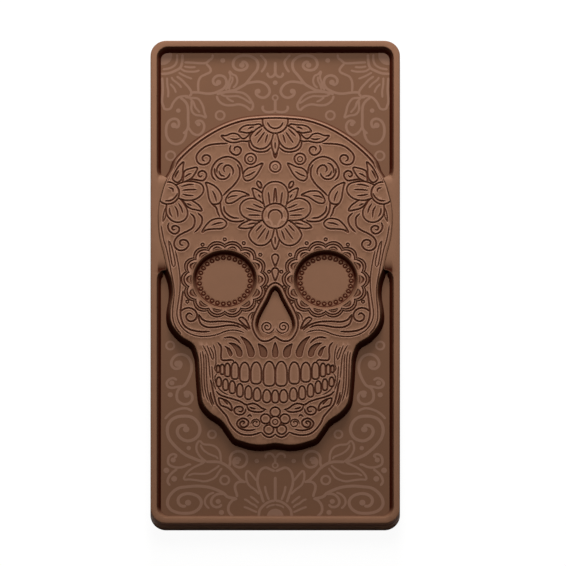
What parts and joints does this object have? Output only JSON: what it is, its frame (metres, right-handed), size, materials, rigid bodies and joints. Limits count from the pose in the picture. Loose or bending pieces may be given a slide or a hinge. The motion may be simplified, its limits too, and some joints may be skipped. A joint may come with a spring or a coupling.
{
  "type": "moulded tablet with a sugar skull relief",
  "caption": "Flat rectangular tablet with a raised rim, a raised ornamented sugar skull and a fine flower pattern on the field between them.",
  "frame": {"origin": "middle of the flat back, under the centre of the tablet", "axes": "+X to the tablet's right seen from the front, +Y along its length towards the skull's crown, +Z out of the decorated face"},
  "size_m": [0.077, 0.154, 0.009],
  "materials": {
    "relief_brown": "satin moulded brown, lines of the relief darker",
    "field_brown": "satin moulded brown with a paler flower pattern"
  },
  "bodies": {
    "root": {"tablet_slab": "field_brown", "rim_frame": "relief_brown", "skull_plate": "relief_brown", "crown_flower": "relief_brown", "forehead_flower": "relief_brown", "brow_drop_upper": "relief_brown", "brow_drop_lower": "relief_brown", "upper_teeth": "relief_brown", "lower_teeth": "relief_brown", "chin_flower": "relief_brown", "temple_flower_left": "relief_brown", "temple_flower_right": "relief_brown", "eye_surround_left": "relief_brown", "eye_surround_right": "relief_brown", "brow_leaf_left": "relief_brown", "brow_leaf_right": "relief_brown", "stem_leaf_inner_left": "relief_brown", "stem_leaf_inner_right": "relief_brown", "stem_leaf_upper_left": "relief_brown", "stem_leaf_upper_right": "relief_brown", "stem_leaf_lower_left": "relief_brown", "stem_leaf_lower_right": "relief_brown", "eye_disc_left": "relief_brown", "eye_disc_right": "relief_brown", "nose_panel": "relief_brown"}
  },
  "joints": []
}
